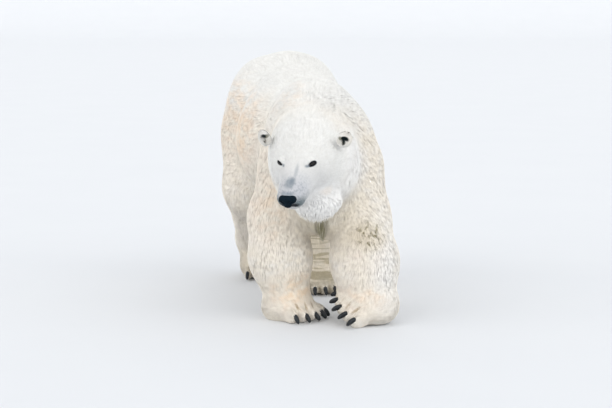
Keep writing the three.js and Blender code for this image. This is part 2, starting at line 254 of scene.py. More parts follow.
FORE_PAW = (250, 100, 118)  # width, reach, heel
HIND_PAW = (215, 98, 165)
LEGS = {
    "foreleg_right": {
        "paw": FORE_PAW,
        "frame": frame_at((-152, 92, 0), yaw=44),
        "bars": [
            ((-180, 95, 740), (-202, 160, 490), 125, 144),
            ((-202, 160, 490), (-200, 132, 300), 144, 148),
            ((-200, 132, 300), (-162, 110, 90), 146, 108),
        ],
        "claw_pitch": 20,
    },
    "foreleg_left": {
        "paw": FORE_PAW,
        "frame": frame_at((192, -72, 40), yaw=-82, roll=24),
        "bars": [
            ((175, 70, 740), (184, 80, 490), 120, 146),
            ((184, 80, 490), (192, -16, 290), 146, 160),
            ((192, -16, 290), (206, -55, 130), 158, 132),
        ],
        "claw_pitch": 2,
    },
    "hindleg_right": {
        "paw": HIND_PAW,
        "frame": frame_at((-128, 1350, 0), yaw=6),
        "bars": [
            ((-165, 1150, 800), (-192, 1105, 540), 195, 168),
            ((-192, 1105, 540), (-150, 1402, 215), 165, 102),
            ((-150, 1402, 215), (-132, 1392, 90), 102, 88),
        ],
        "claw_pitch": 20,
    },
    "hindleg_left": {
        "paw": HIND_PAW,
        "frame": frame_at((112, 815, 0), yaw=4),
        "bars": [
            ((118, 1140, 800), (160, 960, 520), 195, 162),
            ((160, 960, 520), (124, 950, 200), 160, 108),
            ((124, 950, 200), (114, 900, 90), 108, 90),
        ],
        "claw_pitch": 20,
    },
}
for leg in LEGS.values():
    bars = [taper(*bar) for bar in leg["bars"]]
    leg["field"] = blend(62, *bars, placed(leg["frame"], paw_field(leg["paw"])))

leg_fields = [leg["field"] for leg in LEGS.values()]
body = blend(50, blend(40, blend(90, trunk, neck), tail), head, ruff)
outline = blend(70, body, *leg_fields)


# ------------------------------------------------------------------ how deep the coat is

def smooth(value, low, high):
    t = np.clip((value - low) / (high - low), 0, 1)
    return t * t * (3 - 2 * t)


def mix(a, b, share):
    return a + (b - a) * share


TO_HEAD = (HEAD_FRAME @ Matrix.Scale(HEAD_SCALE, 4)).inverted()


def regions(x, y, z):
    """Shares, 0 to 1, of the places that the coat changes with."""
    hx, hy, hz = turned(TO_HEAD, x, y, z)
    from_head = np.sqrt(hx * hx + (hy - 10) ** 2 * 0.8 + (hz + 10) ** 2)
    at_head = np.maximum(1 - smooth(from_head, 165, 290), smooth(-hy, 60, 140) * (from_head < 420))
    ear_x, ear_y, ear_z = turned(EAR_FRAME.inverted(), np.abs(hx), hy, hz)
    at_ear = 1 - smooth(np.sqrt(ear_x**2 + ear_y**2 + (ear_z - 8) ** 2), 40, 62)
    from_eye = np.sqrt((np.abs(hx) - EYE_PLACE[0]) ** 2 + (hy - EYE_PLACE[1]) ** 2 + (hz - EYE_PLACE[2]) ** 2)
    beard = smooth(-hz, 92, 150) * at_head
    short = at_head * (1 - beard)
    return {
        "head": at_head,
        "face": short * smooth(-hy, 10, 110),
        "muzzle": short * smooth(-hy, 125, 200),
        "ear": at_ear,
        "lid": 1 - smooth(from_eye, 18, 32),
        "beard": beard,
        "tuft": 1 - smooth(np.sqrt((x + 42) ** 2 + ((y + 105) / 1.6) ** 2 + (z - 515) ** 2), 22, 62),
        "leg": 1 - smooth(z, 430, 640),
        "foot": 1 - smooth(z, 50, 270),
        "local": (hx, hy, hz),
    }


def coat_depth(x, y, z):
    r = regions(x, y, z)
    depth = mix(6.5, 6.2, r["leg"])
    depth = mix(depth, 5.6, r["foot"])
    depth = mix(depth, 4.0, r["head"] * (1 - r["beard"]))
    depth = mix(depth, 2.6, r["face"])
    depth = mix(depth, 1.4, r["muzzle"])
    depth = mix(depth, 2.5, r["ear"])
    depth = mix(depth, 1.2, r["lid"])
    return depth * smooth(z, 2, 45)


# ------------------------------------------------------------------ the skin's own forms
# Lids, the mouth line and the folds that the plain outline doesn't have, in the head's frame.

EYE_FORWARD = Vector((12, -22, 2)).normalized()
FISSURE_TILT = 20  # degrees, the outer corner is the higher one


def eye_frame():
    """x runs along the lids towards the outer corner, y out of the eye, z up."""
    out = EYE_FORWARD
    side = Vector((0, 0, 1)).cross(-out).normalized()
    up = out.cross(-side).normalized()
    tilt = Matrix.Rotation(math.radians(FISSURE_TILT), 3, out)
    side, up = tilt @ side, tilt @ up
    if side.x < 0:
        side = -side
    if up.z < 0:
        up = -up
    rotation = Matrix((side, out, up)).transposed().to_4x4()
    return Matrix.Translation(EYE_PLACE) @ rotation


EYE_FRAME = eye_frame()
lid_ball = ellipsoid((0, 0, 0), (17.6, 17.2, 16.6))
lid_opening = ellipsoid((0, 18, -0.3), (15.0, 15, 5.2))
right_opening = ellipsoid((-2, 18, -0.6), (12.0, 15, 3.4))
inner_corner = ellipsoid((-14.5, 16.5, -1.5), (6, 8, 2.2))
brow_fold = taper((-12, 12, 13), (17, 9, 11), 2.2, 1.6)
MOUTH_LINE = [
    (0, -300, -76), (22, -290, -74), (40, -262, -73), (49, -228, -72), (55, -190, -69), (61, -156, -62),
]


def polyline_groove(points, radius):
    bars = [taper(a, b, radius, radius) for a, b in zip(points, points[1:])]

    def field(x, y, z):
        d = bars[0](x, y, z)
        for bar in bars[1:]:
            d = np.minimum(d, bar(x, y, z))
        return d

    return field


mouth_groove = polyline_groove(MOUTH_LINE, 3.4)


def skin_form(x, y, z):
    """The surface of the skin: inside the outline by the coat's depth."""
    return outline(x, y, z) + coat_depth(x, y, z)


def lidded(d, x, y, z, proud, opened):
    """Distances d with the lids joined on, so far proud. Opened lids also get the mouth line."""
    hx, hy, hz = turned(TO_HEAD, x, y, z)
    near = (hy < -60) & (hx * hx + (hy + 180) ** 2 + hz * hz < 260**2)
    if not near.any():
        return d
    on_right = hx[near] < 0
    at_face = np.abs(hx[near]), hy[near], hz[near]
    at_eye = turned(EYE_FRAME.inverted(), *at_face)
    base = joined(14, d[near] / HEAD_SCALE, lid_ball(*at_eye) - proud)
    if opened:
        for k, taken in (
            (1.5, np.where(on_right, right_opening(*at_eye), lid_opening(*at_eye))),
            (1.5, inner_corner(*at_eye)),
            (4.0, brow_fold(*at_eye)),
            (5.0, mouth_groove(*at_face)),
        ):
            base = cut_out(k, base, taken)
    d = d.copy()
    d[near] = base * HEAD_SCALE
    return d


def lidded_skin(x, y, z):
    return lidded(skin_form(x, y, z), x, y, z, 0.0, True)


def coat_form(x, y, z):
    """The surface that the tips of the coat lie on."""
    return lidded(outline(x, y, z), x, y, z, 1.2, False)


# ------------------------------------------------------------------ fields to meshes

def spaced(*stops):
    """Grid lines from stops of (place, step): each step holds until the next stop."""
    runs = [np.arange(a, b, step) for (a, step), (b, _) in zip(stops, stops[1:])]
    return np.concatenate(runs + [[stops[-1][0]]]).astype(np.float32)


def in_chunks(field, x, y, z, size=250_000):
    out = np.empty(len(x), np.float32)
    for start in range(0, len(x), size):
        part = slice(start, start + size)
        out[part] = field(x[part], y[part], z[part])
    return out


def grid_values(field, lines, block=8):
    """The field at every grid point near its surface. Far from it only the sign is right."""
    sizes = [len(line) for line in lines]
    values = np.empty(sizes, np.float32)
    starts = [np.arange(0, n, block) for n in sizes]
    ends = [np.minimum(s + block, n) for s, n in zip(starts, sizes)]
    lows = [line[s] for line, s in zip(lines, starts)]
    highs = [line[np.minimum(e, len(line) - 1)] for line, e in zip(lines, ends)]
    middles = np.meshgrid(*[(a + b) / 2 for a, b in zip(lows, highs)], indexing="ij")
    halves = np.meshgrid(*[(b - a) / 2 for a, b in zip(lows, highs)], indexing="ij")
    reach = np.sqrt(sum(h * h for h in halves))
    at_middle = in_chunks(field, *[m.ravel() for m in middles]).reshape(reach.shape)
    near = np.abs(at_middle) < reach * 1.35 + 12
    parts = []
    for i, j, k in np.ndindex(near.shape):
        cells = tuple(slice(starts[q][n], ends[q][n]) for q, n in enumerate((i, j, k)))
        if near[i, j, k]:
            parts.append(cells)
        else:
            values[cells] = at_middle[i, j, k]
    group = 400
    for first in range(0, len(parts), group):
        chosen = parts[first:first + group]
        spots = [np.meshgrid(*[lines[q][c[q]] for q in range(3)], indexing="ij") for c in chosen]
        flat = [np.concatenate([s[q].ravel() for s in spots]) for q in range(3)]
        found = in_chunks(field, *flat)
        at = 0
        for cells, spot in zip(chosen, spots):
            count = spot[0].size
            values[cells] = found[at:at + count].reshape(spot[0].shape)
            at += count
    return values


def gradient(field, x, y, z, e=0.6):
    d = in_chunks(field, x, y, z)
    gx = (in_chunks(field, x + e, y, z) - d) / e
    gy = (in_chunks(field, x, y + e, z) - d) / e
    gz = (in_chunks(field, x, y, z + e) - d) / e
    return d, gx, gy, gz


def surface_net(field, lines, passes=2):
    """A closed mesh of quads on the field's zero level: vertices (n, 3) and faces (m, 4)."""
    values = grid_values(field, lines)
    inside = values < 0
    count = np.zeros([n - 1 for n in values.shape], np.uint8)
    corners = [(i, j, k) for k in (0, 1) for j in (0, 1) for i in (0, 1)]
    for c in corners:
        count += inside[tuple(slice(c[q], n - 1 + c[q]) for q, n in enumerate(inside.shape))]
    cells = np.argwhere((count > 0) & (count < 8))
    ids = np.full(count.shape, -1, np.int32)
    ids[tuple(cells.T)] = np.arange(len(cells))
    at = np.stack([values[tuple((cells + c).T)] for c in corners], 1)
    spot = [
        np.stack([lines[q][cells[:, q] + c[q]] for q in range(3)], 1) for c in corners
    ]
    total = np.zeros((len(cells), 3), np.float32)
    crossings = np.zeros(len(cells), np.float32)
    for a in range(8):
        for bit in (1, 2, 4):
            if a & bit:
                continue
            b = a | bit
            cross = (at[:, a] < 0) != (at[:, b] < 0)
            t = np.where(cross, at[:, a] / np.where(cross, at[:, a] - at[:, b], 1), 0)
            total += cross[:, None] * (spot[a] + t[:, None] * (spot[b] - spot[a]))
            crossings += cross
    points = total / crossings[:, None]
    room = 0.5 * np.linalg.norm(spot[7] - spot[0], axis=1) / math.sqrt(3)
    start = points.copy()
    for _ in range(passes):
        d, gx, gy, gz = gradient(field, *points.T.copy())
        step = d / np.maximum(gx * gx + gy * gy + gz * gz, 0.3)
        points -= np.stack([gx * step, gy * step, gz * step], 1)
    moved = points - start
    far = np.linalg.norm(moved, axis=1)
    points = start + moved * np.minimum(1, room / np.maximum(far, 1e-6))[:, None]
    faces = []
    for axis in range(3):
        u, v = (axis + 1) % 3, (axis + 2) % 3
        here = [slice(1, n - 1) for n in values.shape]
        here[axis] = slice(0, values.shape[axis] - 1)
        there = list(here)
        there[axis] = slice(1, values.shape[axis])
        first, second = inside[tuple(here)], inside[tuple(there)]
        edge = np.argwhere(first != second) + [s.start for s in here]
        outward = inside[tuple(edge.T)]
        quad = []
        for du, dv in ((1, 1), (0, 1), (0, 0), (1, 0)):
            cell = edge.copy()
            cell[:, u] -= du
            cell[:, v] -= dv
            quad.append(ids[tuple(cell.T)])
        quad = np.stack(quad, 1)
        quad[~outward] = quad[~outward][:, ::-1]
        faces.append(quad)
    return points, np.concatenate(faces)


def mesh_of(name, points, faces, smooth_faces=True):
    """A Blender mesh from points in metres and faces that all have as many corners."""
    mesh = bpy.data.meshes.new(name)
    corners = faces.shape[1]
    mesh.vertices.add(len(points))
    mesh.vertices.foreach_set("co", np.ascontiguousarray(points, np.float32).ravel())
    mesh.loops.add(faces.size)
    mesh.loops.foreach_set("vertex_index", np.ascontiguousarray(faces, np.int32).ravel())
    mesh.polygons.add(len(faces))
    mesh.polygons.foreach_set("loop_start", np.arange(0, faces.size, corners, dtype=np.int32))
    mesh.polygons.foreach_set("use_smooth", np.full(len(faces), smooth_faces))
    mesh.update(calc_edges=True)
    mesh.validate()
    return mesh


def piece_of(name, points, faces, material, smooth_faces=True):
    mesh = mesh_of(name, points, faces, smooth_faces)
    piece = bpy.data.objects.new(name, mesh)
    bpy.context.scene.collection.objects.link(piece)
    mesh.materials.append(material)
    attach(piece, "root")
    return piece


def in_frame(points):
    """Millimetres in the body's numbers to metres in the row frame."""
    return (points + FLOOR_SHIFT) / 1000.0


# ------------------------------------------------------------------ materials

class Nodes:
    """A short way to write a material's nodes."""

    def __init__(self, name):
        self.material = bpy.data.materials.new(name)
        self.material.use_nodes = True
        self.tree = self.material.node_tree
        self.tree.nodes.clear()
        self.place = self.node("ShaderNodeTexCoord").outputs["Object"]

    def node(self, kind, **settings):
        made = self.tree.nodes.new(kind)
        for key, value in settings.items():
            setattr(made, key, value)
        return made

    def put(self, socket, value):
        if isinstance(value, bpy.types.NodeSocket):
            self.tree.links.new(value, socket)
        else:
            socket.default_value = value

    def maths(self, operation, a, b=0.0, clamp=False):
        made = self.node("ShaderNodeMath", operation=operation, use_clamp=clamp)
        self.put(made.inputs[0], a)
        self.put(made.inputs[1], b)
        return made.outputs[0]

    def noise(self, scale, detail=3.0, rough=0.55, stretch=None, distortion=0.0):
        place = self.place
        if stretch:
            scaled = self.node("ShaderNodeVectorMath", operation="MULTIPLY")
            self.put(scaled.inputs[0], place)
            scaled.inputs[1].default_value = stretch
            place = scaled.outputs[0]
        made = self.node("ShaderNodeTexNoise")
        self.put(made.inputs["Vector"], place)
        made.inputs["Scale"].default_value = scale
        made.inputs["Detail"].default_value = detail
        made.inputs["Roughness"].default_value = rough
        made.inputs["Distortion"].default_value = distortion
        return made.outputs["Fac"]

    def ramp(self, value, low, high, to_low=0.0, to_high=1.0):
        made = self.node("ShaderNodeMapRange", interpolation_type="SMOOTHSTEP")
        for socket, number in zip(made.inputs, (value, low, high, to_low, to_high)):
            self.put(socket, number)
        return made.outputs[0]

    def spot(self, centre, radii, edge=0.5, ragged=None, turn=None):
        """1 inside an ellipsoid placed in the row frame, fading to 0 at its edge."""
        moved = self.node("ShaderNodeVectorMath", operation="SUBTRACT")
        self.put(moved.inputs[0], self.place)
        moved.inputs[1].default_value = centre
        vector = moved.outputs[0]
        if turn is not None:
            rotated = self.node("ShaderNodeVectorRotate", rotation_type="EULER_XYZ", invert=True)
            self.put(rotated.inputs["Vector"], vector)
            rotated.inputs["Rotation"].default_value = turn
            vector = rotated.outputs[0]
        scaled = self.node("ShaderNodeVectorMath", operation="DIVIDE")
        self.put(scaled.inputs[0], vector)
        scaled.inputs[1].default_value = radii
        far = self.node("ShaderNodeVectorMath", operation="LENGTH")
        self.put(far.inputs[0], scaled.outputs[0])
        reach = far.outputs["Value"]
        if ragged is not None:
            fleck, size = ragged
            reach = self.maths("ADD", reach, self.maths("MULTIPLY", self.maths("SUBTRACT", fleck, 0.5), size))
        return self.ramp(reach, 1 - edge, 1 + edge * 0.4, 1.0, 0.0)

    def colour_mix(self, share, a, b, kind="MIX"):
        made = self.node("ShaderNodeMix", data_type="RGBA", blend_type=kind)
        self.put(made.inputs[0], share)
        for socket, value in ((made.inputs[6], a), (made.inputs[7], b)):
            self.put(socket, value if isinstance(value, bpy.types.NodeSocket) else (*value, 1.0))
        return made.outputs[2]

    def finish(self, colour, roughness, bump=None, strength=0.3, distance=0.002, **constants):
        shader = self.node("ShaderNodeBsdfPrincipled")
        self.put(shader.inputs["Base Color"], colour)
        self.put(shader.inputs["Roughness"], roughness)
        for name, value in constants.items():
            shader.inputs[name.replace("_", " ")].default_value = value
        if bump is not None:
            bumped = self.node("ShaderNodeBump")
            bumped.inputs["Strength"].default_value = strength
            bumped.inputs["Distance"].default_value = distance
            self.put(bumped.inputs["Height"], bump)
            self.put(shader.inputs["Normal"], bumped.outputs[0])
        output = self.node("ShaderNodeOutputMaterial")
        self.put(output.inputs[0], shader.outputs[0])
        return self.material


def turn_of(local=None, mirrored=False):
    """Angles of a frame that is given in the head, or of its mirror image on the right."""
    rotation = local.to_3x3() if local else Matrix.Identity(3)
    if mirrored:
        flip = Matrix.Diagonal((-1, 1, 1))
        rotation = flip @ rotation @ flip
    return tuple((HEAD_FRAME.to_3x3() @ rotation).to_euler("XYZ"))


HEAD_TURN = turn_of()


def from_head(point):
    """A point of the head's frame as a place in the row frame, in metres."""
    moved = HEAD_FRAME @ (Vector(point) * HEAD_SCALE)
    return tuple((moved + Vector(FLOOR_SHIFT)) / 1000)


def row_place(x, y, z):
    return (x / 1000 + 0.005, y / 1000 - 0.457, z / 1000)


IVORY = (0.925, 0.855, 0.745)
WHITE = (0.945, 0.94, 0.925)
TOP_WHITE = (0.875, 0.87, 0.845)
PEACH = (0.925, 0.795, 0.665)
AMBER = (0.88, 0.68, 0.46)
STRAW = (0.72, 0.62, 0.45)
STAIN = (0.19, 0.165, 0.075)
OLIVE = (0.20, 0.185, 0.10)
DULL_OLIVE = (0.40, 0.34, 0.19)
TOE_BROWN = (0.40, 0.27, 0.12)
FACE_GREY = (0.76, 0.755, 0.75)
MUZZLE_GREY = (0.56, 0.58, 0.625)
SKIN_GREY = (0.20, 0.245, 0.29)
LIP_GREY = (0.13, 0.185, 0.20)
SKIN_BLACK = (0.010, 0.012, 0.016)
EAR_DARK = (0.012, 0.022, 0.024)
EAR_OLIVE = (0.14, 0.145, 0.085)


def coat_colour(n):
    """The markings, the same for the skin and every lock of the coat."""
    broad = n.noise(2.6, 2.0)
    clump = n.noise(17.0, 3.0, stretch=(1, 0.5, 1.3))
    fine = n.noise(160.0, 2.0)

    def over(colour, mask, share, paint):
        return n.colour_mix(n.maths("MULTIPLY", mask, share), colour, paint)

    colour = n.colour_mix(n.ramp(clump, 0.35, 0.7, 0.0, 0.35), IVORY, WHITE)
    # whiter along the back, on the head and on the near side of the left foreleg
    top = n.node("ShaderNodeSeparateXYZ")
    n.put(top.inputs[0], n.place)
    height = n.maths("ADD", top.outputs[2], n.maths("MULTIPLY", n.maths("SUBTRACT", broad, 0.5), 0.3))
    colour = n.colour_mix(n.ramp(height, 0.84, 1.1, 0.0, 0.95), colour, TOP_WHITE)
    colour = n.colour_mix(n.spot(from_head((0, -20, -10)), (0.24, 0.30, 0.25), 0.35), colour, TOP_WHITE)
    # painted light: the throat lobe's white hair, painted whiter still to lift the shade on its underside
    colour = n.colour_mix(n.spot(row_place(-95, -300, 635), (0.18, 0.28, 0.13), 0.5), colour, WHITE)
    # painted light: the white of the neck's left side, partly the ruff's own white, partly lifting the shade in the
    # hollow between head and shoulder
    colour = over(colour, n.spot(row_place(75, -230, 790), (0.14, 0.2, 0.2), 0.6), 0.85, WHITE)
    colour = over(colour, n.spot(row_place(260, -60, 260), (0.1, 0.25, 0.3), 0.8), 0.7, WHITE)
    # warm clumps down the far flank, over the forelegs and on top of the paws
    warm = n.ramp(clump, 0.32, 0.72)
    for centre, radii, share in (
        (row_place(-345, 800, 930), (0.15, 0.8, 0.36), 0.85),
        (row_place(-345, 650, 900), (0.09, 0.5, 0.32), 1.0),
        (row_place(-150, 100, 1050), (0.12, 0.25, 0.14), 0.5),
        (row_place(-290, 60, 640), (0.2, 0.3, 0.3), 0.75),
        (row_place(-170, 30, 130), (0.16, 0.2, 0.12), 0.9),
        (row_place(130, -150, 130), (0.16, 0.18, 0.09), 0.8),
        (row_place(150, -130, 380), (0.14, 0.16, 0.2), 0.55),
        (row_place(0, 1300, 500), (0.5, 0.4, 0.45), 0.6),
        (row_place(300, 700, 620), (0.2, 0.7, 0.25), 0.6),
    ):
        mask = n.maths("MULTIPLY", n.spot(centre, radii, 0.7, (broad, 0.5)), warm)
        colour = over(colour, mask, share, PEACH)
    for centre, radii, share in (
        (row_place(-150, -10, 165), (0.13, 0.2, 0.09), 0.7),
        (row_place(-350, 700, 920), (0.06, 0.4, 0.26), 0.4),
        (row_place(165, -150, 150), (0.12, 0.16, 0.06), 0.3),
        (row_place(-245, -20, 560), (0.09, 0.2, 0.24), 0.35),
    ):
        mask = n.maths("MULTIPLY", n.spot(centre, radii, 0.8, (broad, 0.5)), warm)
        colour = over(colour, mask, share, AMBER)
    # dull straw under the chest, between the legs and on the hind feet: partly the coat's own yellowing, partly
    # painted shade under the body and between the legs
    for centre, radii, share in (
        (row_place(30, -110, 520), (0.2, 0.22, 0.2), 0.35),
        (row_place(-110, -60, 470), (0.12, 0.2, 0.18), 0.12),
        (row_place(0, 500, 480), (0.28, 0.6, 0.14), 0.5),
        (row_place(-128, 1330, 80), (0.16, 0.22, 0.12), 0.5),
    ):
        mask = n.spot(centre, radii, 0.7, (broad, 0.5))
        colour = over(colour, mask, share, STRAW)
    # bands of straw up the left hind foot and shank, over a straw wash on the shank that is mostly painted shade,
    # as it stands under the body between the forelegs
    bands = n.ramp(n.noise(9.0, 2.0, stretch=(0.5, 0.5, 5.5), distortion=0.8), 0.45, 0.6)
    shank = n.spot(row_place(112, 820, 200), (0.2, 0.26, 0.26), 0.5)
    colour = over(colour, shank, 0.35, STRAW)
    colour = over(colour, n.maths("MULTIPLY", shank, bands), 0.6, DULL_OLIVE)
    # olive: painted shadow on the chest under the chin, the chest's olive tuft, partly stained hair and partly
    # painted shade, and stain flecks by the left elbow
    chin_shadow = n.spot(row_place(-88, -90, 475), (0.07, 0.15, 0.10), 0.9, (clump, 0.5))
    colour = over(colour, chin_shadow, 0.15, OLIVE)
    # partly stained hair, partly painted shade: the olive tuft down the middle of the chest
    chest = n.spot(row_place(-36, -150, 452), (0.040, 0.13, 0.115), 0.8, (clump, 0.5))
    strands = n.ramp(n.noise(110.0, 2.0, stretch=(1, 0.4, 0.1)), 0.3, 0.55, 0.45, 1.0)
    colour = over(colour, n.maths("MULTIPLY", chest, strands), 0.95, OLIVE)
    flecks = n.ramp(n.noise(44.0, 3.0, stretch=(1.2, 1, 0.6)), 0.50, 0.66)
    elbow = n.spot(row_place(200, -120, 425), (0.1, 0.16, 0.07), 0.6, (clump, 0.8))
    colour = over(colour, elbow, 0.4, STRAW)
    colour = over(colour, n.maths("MULTIPLY", elbow, flecks), 0.8, STAIN)
    # brown creases between the toes of the forepaws
    for name in ("foreleg_right", "foreleg_left"):
        paw_turn = tuple(LEGS[name]["frame"].to_euler("XYZ"))
        toes = [Vector(at) for at, _ in toes_of(FORE_PAW)]
        for a, b in zip(toes, toes[1:]):
            groove = LEGS[name]["frame"] @ ((a + b) / 2 * 0.9 + Vector((0, 8, 36)))
            line = n.spot(row_place(*groove), (0.0075, 0.05, 0.028), 0.8, (fine, 0.7), paw_turn)
            colour = over(colour, line, 0.95, TOE_BROWN)
    # every hair differs a little from the next
    streaks = n.noise(75.0, 3.0, stretch=(1, 0.4, 0.7))
    duller = n.colour_mix(1.0, colour, (0.95, 0.945, 0.935), "MULTIPLY")
    colour = n.colour_mix(n.ramp(streaks, 0.3, 0.7), duller, colour)
    # head: grey short hair on the muzzle, bare skin on the bridge, dark lips, lids and ears
    lower_face = n.spot(from_head((0, -190, -45)), (0.17, 0.17, 0.13), 0.7, (clump, 0.2), HEAD_TURN)
    colour = over(colour, lower_face, 0.85, FACE_GREY)
    muzzle_mask = n.spot(from_head((6, -276, -20)), (0.1, 0.12, 0.085), 0.8, (clump, 0.2), HEAD_TURN)
    colour = over(colour, muzzle_mask, 0.9, MUZZLE_GREY)
    mottle = n.ramp(n.noise(95.0, 3.0, stretch=(1, 0.6, 1)), 0.45, 0.66)
    colour = over(colour, n.maths("MULTIPLY", muzzle_mask, mottle), 0.5, SKIN_GREY)
    specks = n.ramp(n.noise(260.0, 1.0), 0.52, 0.62)
    bridge = n.spot(from_head((2, -266, 26)), (0.027, 0.042, 0.03), 0.7, (clump, 0.5), HEAD_TURN)
    colour = over(colour, bridge, 0.62, SKIN_GREY)
    worn = n.spot(from_head((11, -254, 30)), (0.014, 0.024, 0.024), 0.8, (fine, 0.4), HEAD_TURN)
    colour = over(colour, worn, 0.55, SKIN_GREY)
    above_nose = n.spot(from_head((0, -306, 0)), (0.036, 0.014, 0.012), 0.8, (fine, 0.3), HEAD_TURN)
    colour = over(colour, above_nose, 0.7, SKIN_GREY)
    # painted shadow: the crease down the bridge between the eyes
    crease = n.spot(from_head((17, -196, 46)), (0.010, 0.046, 0.03), 0.9, None, HEAD_TURN)
    colour = over(colour, crease, 0.4, SKIN_GREY)
    for side in (1, -1):
        lip = n.spot(from_head((side * 40, -288, -52)), (0.040, 0.046, 0.032), 0.9, (fine, 0.4), HEAD_TURN)
        colour = over(colour, lip, 0.85, LIP_GREY)
        colour = over(colour, n.maths("MULTIPLY", lip, specks), 0.6, SKIN_BLACK)
        front = n.spot(from_head((side * 20, -312, -62)), (0.030, 0.034, 0.020), 0.5, (fine, 0.3), HEAD_TURN)
        colour = over(colour, front, 0.92, SKIN_BLACK)
        back = n.spot(from_head((side * 64, -236, -48)), (0.02, 0.026, 0.024), 0.9, (fine, 0.4), HEAD_TURN)
        colour = over(colour, back, 0.2, LIP_GREY)
        cheek = n.spot(from_head((side * 112, -105, -112)), (0.05, 0.035, 0.02), 0.8, (clump, 0.4), HEAD_TURN)
        colour = over(colour, cheek, 0.3, PEACH)
        eye_turn = turn_of(EYE_FRAME, side < 0)
        mid = EYE_FRAME @ Vector((1, 15, 0.6))
        rim = (0.0262, 0.028, 0.0112) if side > 0 else (0.0205, 0.028, 0.0085)
        lids = n.spot(from_head((side * mid.x, mid.y, mid.z)), rim, 0.25, None, eye_turn)
        colour = n.colour_mix(lids, colour, SKIN_BLACK)
        inner = EYE_FRAME @ Vector((-25, 14, 3))
        corner = n.spot(from_head((side * inner.x, inner.y, inner.z)), (0.013, 0.024, 0.008), 0.8, None, eye_turn)
        colour = over(colour, corner, 0.8, SKIN_GREY)
        ear_turn = turn_of(EAR_FRAME, side < 0)
        shift = 0 if side > 0 else -7
        for at, radii, share, paint in (
            ((-18 + shift, -12, 12), (0.017, 0.022, 0.010), 0.75, EAR_OLIVE),
            ((-3 + shift, -10, 14), (0.0215, 0.024, 0.0125), 1.0, EAR_DARK),
            ((-4 + shift, -10, 2), (0.0105, 0.024, 0.019), 1.0, EAR_DARK),
        ):
            spot = EAR_FRAME @ Vector(at)
            mask = n.spot(from_head((side * spot.x, spot.y, spot.z)), radii, 0.35, (fine, 0.35), ear_turn)
            colour = over(colour, mask, share, paint)
        base = EAR_FRAME @ Vector((-30, -16, -12))
        tan = n.spot(from_head((side * base.x, base.y, base.z)), (0.03, 0.03, 0.024), 0.9, (fine, 0.3), ear_turn)
        colour = over(colour, tan, 0.28, STRAW)
    return colour, clump, fine


def skin_material():
    n = Nodes("skin")
    colour, clump, fine = coat_colour(n)
    strands = n.noise(420.0, 2.0, stretch=(1, 0.25, 0.6))
    height = n.maths("ADD", strands, n.maths("MULTIPLY", clump, 0.5))
    return n.finish(colour, 0.8, height, 0.5, 0.0012, Specular_IOR_Level=0.1)


def fur_material():
    n = Nodes("coat")
    colour, clump, fine = coat_colour(n)
    tip = n.node("ShaderNodeAttribute", attribute_name="tip").outputs["Fac"]
    own = n.node("ShaderNodeAttribute", attribute_name="own").outputs["Fac"]
    # painted shade: each lock darker towards its root, deep in the coat; own gives each lock a random tone of its
    # own
    shade = n.maths("ADD", n.ramp(tip, 0.0, 0.8, 0.94, 1.0), n.maths("MULTIPLY", own, 0.06))
    grey = n.node("ShaderNodeCombineColor")
    for socket in grey.inputs:
        n.put(socket, shade)
    root_shaded = n.colour_mix(1.0, colour, grey.outputs[0], "MULTIPLY")
    return n.finish(root_shaded, 0.8, Specular_IOR_Level=0.05)


def horn_material():
    n = Nodes("horn")
    streaks = n.noise(60.0, 4.0, stretch=(1, 1, 3))
    fine = n.noise(700.0, 2.0)
    colour = n.colour_mix(n.ramp(streaks, 0.3, 0.75), (0.004, 0.006, 0.009), (0.022, 0.027, 0.031))
    rough = n.ramp(fine, 0.3, 0.7, 0.30, 0.44)
    return n.finish(colour, rough, streaks, 0.25, 0.0006, Specular_IOR_Level=0.35)


def nose_material():
    n = Nodes("nose_leather")
    pebbles = n.node("ShaderNodeTexVoronoi", feature="DISTANCE_TO_EDGE")
    n.put(pebbles.inputs["Vector"], n.place)
    pebbles.inputs["Scale"].default_value = 430.0
    grain = n.ramp(pebbles.outputs["Distance"], 0.0, 0.25)
    broad = n.noise(50.0, 3.0)
    colour = n.colour_mix(n.ramp(broad, 0.3, 0.7), (0.001, 0.005, 0.010), (0.003, 0.012, 0.020))
    rough = n.ramp(broad, 0.3, 0.7, 0.42, 0.58)
    return n.finish(colour, rough, grain, 0.5, 0.0006, Specular_IOR_Level=0.07)


def eye_material():
    n = Nodes("eye")
    far = n.node("ShaderNodeVectorMath", operation="LENGTH")
    across = n.node("ShaderNodeVectorMath", operation="MULTIPLY")
    n.put(across.inputs[0], n.place)
    across.inputs[1].default_value = (1, 0, 1)
    n.put(far.inputs[0], across.outputs[0])
    reach = far.outputs["Value"]
    iris = n.colour_mix(n.noise(500.0, 3.0), (0.008, 0.004, 0.002), (0.022, 0.011, 0.005))
    pupil = n.ramp(reach, 0.0040, 0.0046)
    colour = n.colour_mix(pupil, (0.002, 0.002, 0.002), iris)
    white = n.ramp(reach, 0.0098, 0.0106)
    colour = n.colour_mix(white, colour, (0.02, 0.017, 0.016))
    return n.finish(colour, 0.2, Specular_IOR_Level=0.3, Coat_Weight=0.25, Coat_Roughness=0.03)


# ------------------------------------------------------------------ the skin

